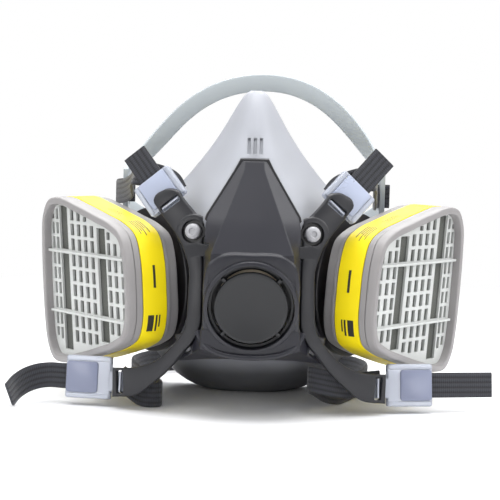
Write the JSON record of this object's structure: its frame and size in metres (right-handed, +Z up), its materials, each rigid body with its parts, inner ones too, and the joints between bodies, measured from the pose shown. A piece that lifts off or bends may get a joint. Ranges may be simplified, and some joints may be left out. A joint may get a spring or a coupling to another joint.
{
  "type": "half-mask respirator",
  "caption": "Reusable elastomeric half-mask with side gas cartridges on bayonet ports, front exhalation valve, clip-on harness yoke, head cradle and buckled straps.",
  "frame": {"origin": "on the ground, in the middle of the flat chin pad on which the mask stands, in the left-right symmetry plane", "axes": "+Z up; +Y towards the wearer, so the front of the mask faces -Y; +X is the side seen on the right when the mask is looked at from its front"},
  "size_m": [0.2172, 0.1499, 0.1476],
  "materials": {
    "facepiece_elastomer": "soft satin thermoplastic elastomer",
    "yoke_plastic": "fine moulded grain",
    "cover_plastic": "satin moulded",
    "cap_plastic": "satin moulded",
    "port_plastic": "satin moulded",
    "valve_rubber": "smooth moulded silicone",
    "cradle_plastic": "satin moulded",
    "buckle_plastic": "translucent moulded",
    "strap_webbing": "ribbed elastic weave",
    "cartridge_plastic": "satin moulded",
    "label_band": "printed paper, satin",
    "grille_plastic": "satin moulded",
    "charcoal": "loose black granules",
    "filter_felt": "white needle felt"
  },
  "bodies": {
    "facepiece": {"facepiece": "facepiece_elastomer", "harness_yoke": "yoke_plastic", "right_harness_stud": "facepiece_elastomer", "left_harness_stud": "facepiece_elastomer", "front_cover": "cover_plastic", "exhalation_cap": "cap_plastic", "exhalation_valve_seat": "port_plastic", "right_inhalation_port": "port_plastic", "left_inhalation_port": "port_plastic", "right_port_gasket": "valve_rubber", "left_port_gasket": "valve_rubber", "right_lower_strap": "strap_webbing", "left_lower_strap": "strap_webbing", "neck_eye": "buckle_plastic"},
    "exhalation_valve": {"exhalation_valve_flap": "valve_rubber"},
    "right_cartridge": {"right_cartridge_body": "cartridge_plastic", "right_cartridge_label": "label_band", "right_cartridge_grille": "grille_plastic", "right_carbon_bed": "charcoal", "right_retention_pad": "filter_felt", "right_rear_screen": "filter_felt"},
    "right_inhalation_valve": {"right_inhalation_valve": "valve_rubber"},
    "right_upper_buckle": {"right_upper_buckle": "buckle_plastic"},
    "right_upper_tail": {"right_upper_strap_tail": "strap_webbing"},
    "right_lower_buckle": {"right_lower_buckle": "buckle_plastic"},
    "right_lower_tail": {"right_lower_strap_tail": "strap_webbing"},
    "left_cartridge": {"left_cartridge_body": "cartridge_plastic", "left_cartridge_label": "label_band", "left_cartridge_grille": "grille_plastic", "left_carbon_bed": "charcoal", "left_retention_pad": "filter_felt", "left_rear_screen": "filter_felt"},
    "left_inhalation_valve": {"left_inhalation_valve": "valve_rubber"},
    "left_upper_buckle": {"left_upper_buckle": "buckle_plastic"},
    "left_upper_tail": {"left_upper_strap_tail": "strap_webbing"},
    "left_lower_buckle": {"left_lower_buckle": "buckle_plastic"},
    "left_lower_tail": {"left_lower_strap_tail": "strap_webbing"},
    "upper_harness": {"right_upper_strap": "strap_webbing", "left_upper_strap": "strap_webbing"},
    "head_cradle": {"head_cradle": "cradle_plastic"},
    "neck_hook": {"neck_hook": "buckle_plastic"}
  },
  "joints": [
    {"name": "right_cartridge_twist", "type": "hinge", "parent": "facepiece", "child": "right_cartridge", "pos_m": [0.05037, -0.02367, 0.05342], "axis": [0.8387, -0.5446, 0], "range_deg": [0, 12]},
    {"name": "left_cartridge_twist", "type": "hinge", "parent": "facepiece", "child": "left_cartridge", "pos_m": [-0.05037, -0.02367, 0.05342], "axis": [-0.8387, -0.5446, 0], "range_deg": [0, 12]},
    {"name": "exhalation_valve_lift", "type": "slide", "parent": "facepiece", "child": "exhalation_valve", "axis": [0, -0.9877, -0.1564], "range_m": [0, 0.0015], "stiffness_N_per_m": 20},
    {"name": "right_inhalation_valve_lift", "type": "slide", "parent": "facepiece", "child": "right_inhalation_valve", "axis": [-0.8387, 0.5446, 0], "range_m": [0, 0.0012], "stiffness_N_per_m": 20},
    {"name": "left_inhalation_valve_lift", "type": "slide", "parent": "facepiece", "child": "left_inhalation_valve", "axis": [0.8387, 0.5446, 0], "range_m": [0, 0.0012], "stiffness_N_per_m": 20},
    {"name": "right_upper_buckle_pivot", "type": "hinge", "parent": "facepiece", "child": "right_upper_buckle", "pos_m": [0.03619, -0.0565, 0.09166], "axis": [-0.7222, -0.0583, 0.6892], "range_deg": [-4, 3]},
    {"name": "right_upper_tail_slide", "type": "slide", "parent": "right_upper_buckle", "child": "right_upper_tail", "axis": [0.6305, 0.3543, 0.6906], "range_m": [0, 0.008]},
    {"name": "right_lower_buckle_pivot", "type": "hinge", "parent": "facepiece", "child": "right_lower_buckle", "pos_m": [0.05678, -0.05611, 0.01202], "axis": [-0.0273, 0.1582, 0.987], "range_deg": [-4, 0]},
    {"name": "right_lower_tail_slide", "type": "slide", "parent": "right_lower_buckle", "child": "right_lower_tail", "axis": [0.9854, 0.1701, 0], "range_m": [0, 0.01]},
    {"name": "left_upper_buckle_pivot", "type": "hinge", "parent": "facepiece", "child": "left_upper_buckle", "pos_m": [-0.03619, -0.0565, 0.09166], "axis": [-0.7694, 0.0859, -0.6329], "range_deg": [-4, 3]},
    {"name": "left_upper_tail_slide", "type": "slide", "parent": "left_upper_buckle", "child": "left_upper_tail", "axis": [-0.5719, 0.3486, 0.7425], "range_m": [0, 0.008]},
    {"name": "left_lower_buckle_pivot", "type": "hinge", "parent": "facepiece", "child": "left_lower_buckle", "pos_m": [-0.05678, -0.05611, 0.01202], "axis": [-0.0273, -0.1582, -0.987], "range_deg": [-4, 0]},
    {"name": "left_lower_tail_slide", "type": "slide", "parent": "left_lower_buckle", "child": "left_lower_tail", "axis": [-0.9854, 0.1701, 0], "range_m": [0, 0.01]},
    {"name": "upper_harness_swing", "type": "hinge", "parent": "facepiece", "child": "upper_harness", "pos_m": [0, -0.043, 0.1034], "axis": [1, 0, 0], "range_deg": [-3, 14]},
    {"name": "head_cradle_rock", "type": "hinge", "parent": "upper_harness", "child": "head_cradle", "pos_m": [0, 0.0263, 0.0905], "axis": [1, 0, 0], "range_deg": [-8, 10]},
    {"name": "neck_hook_swing", "type": "hinge", "parent": "facepiece", "child": "neck_hook", "pos_m": [-0.0185, 0.0434, 0.0064], "axis": [0, 0, 1], "range_deg": [-8, 0]}
  ]
}
